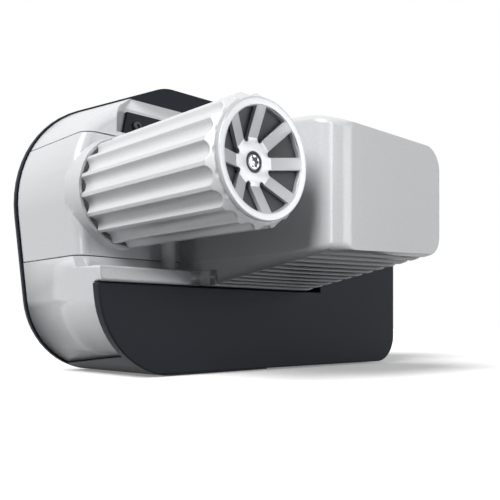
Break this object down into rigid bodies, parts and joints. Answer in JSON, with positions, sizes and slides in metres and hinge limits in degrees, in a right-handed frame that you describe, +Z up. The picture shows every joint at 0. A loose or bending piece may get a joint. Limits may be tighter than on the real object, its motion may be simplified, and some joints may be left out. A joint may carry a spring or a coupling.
{
  "type": "caravan motor mover drive unit",
  "caption": "Caravan mover drive unit: a dark base bolted to the chassis carries a silver geared motor head that slides a fluted roller onto the tyre.",
  "frame": {"origin": "middle of the four chassis bolt holes, on the back face of the mounting plate", "axes": "+Z up, +Y from the unit towards the chassis, tyre on the -X side, roller's free end towards -Y"},
  "size_m": [0.329, 0.3166, 0.244],
  "materials": {
    "dark_plastic": "moulded, fine matt texture",
    "skid_plastic": "moulded, smooth",
    "silver_paint": "silver powder coat on die-cast aluminium",
    "satin_aluminium": "turned and satin anodised",
    "plated_steel": "zinc plated",
    "ground_steel": "ground",
    "gear_steel": "hobbed and oiled",
    "cast_aluminium": "as cast",
    "bronze": "sintered, oil filled",
    "rubber": "moulded",
    "chrome_steel": "polished",
    "window_plastic": "moulded",
    "motor_iron": "black coated",
    "copper_wound": "enamelled windings",
    "circuit_board": "solder masked"
  },
  "bodies": {
    "base": {"rear_cover": "dark_plastic", "base_tray": "dark_plastic", "bottom_skid": "skid_plastic", "mounting_plate": "plated_steel", "plate_screws": "plated_steel", "crossbar_socket": "plated_steel", "socket_screws": "plated_steel", "cable_gland": "skid_plastic", "guide_bushes": "bronze", "engage_motor": "motor_iron", "control_board": "circuit_board", "board_posts": "plated_steel", "base_screws": "plated_steel"},
    "drive_head": {"gear_case": "silver_paint", "upper_case": "silver_paint", "lower_case": "silver_paint", "inspection_cover": "dark_plastic", "case_back_plate": "cast_aluminium", "bearing_plate": "cast_aluminium", "case_screws": "plated_steel", "motor_housing": "silver_paint", "motor_stator": "motor_iron", "brush_plate": "window_plastic", "motor_bearings": "ground_steel", "guide_rods": "ground_steel", "thrust_tube": "plated_steel", "screw_nut": "bronze", "front_bearing": "ground_steel", "rear_bearing": "ground_steel", "shaft_seal": "rubber", "gear_bushes": "bronze"},
    "roller": {"drive_roller": "satin_aluminium", "roller_cap": "satin_aluminium", "cap_insert": "window_plastic", "cap_screw": "chrome_steel", "roller_shaft": "ground_steel", "output_gear": "gear_steel"},
    "rotor": {"motor_rotor": "copper_wound", "motor_pinion": "gear_steel"},
    "layshaft": {"inter_shaft": "ground_steel", "inter_gear": "gear_steel", "inter_pinion": "gear_steel"},
    "screw": {"lead_screw": "ground_steel", "thrust_collar": "plated_steel"}
  },
  "joints": [
    {"name": "engage_slide", "type": "slide", "parent": "base", "child": "drive_head", "axis": [-1, 0, 0], "range_m": [0, 0.035]},
    {"name": "roller_spin", "type": "hinge", "parent": "drive_head", "child": "roller", "pos_m": [-0.125, -0.15, 0], "axis": [0, 1, 0], "continuous": true},
    {"name": "layshaft_spin", "type": "hinge", "parent": "drive_head", "child": "layshaft", "pos_m": [-0.08058, -0.06, 0.01196], "axis": [0, 1, 0], "continuous": true},
    {"name": "motor_spin", "type": "hinge", "parent": "drive_head", "child": "rotor", "pos_m": [-0.015, -0.12, -0.004], "axis": [0, 1, 0], "continuous": true},
    {"name": "screw_spin", "type": "hinge", "parent": "base", "child": "screw", "pos_m": [-0.04, -0.0768, -0.084], "axis": [1, 0, 0], "range_deg": [-1, 3151]}
  ],
  "couplings": [
    {"joint": "layshaft_spin", "follows": "roller_spin", "ratio": -1.875},
    {"joint": "motor_spin", "follows": "roller_spin", "ratio": 10.179},
    {"joint": "screw_spin", "follows": "engage_slide", "rad_per_m": 1570.8}
  ]
}
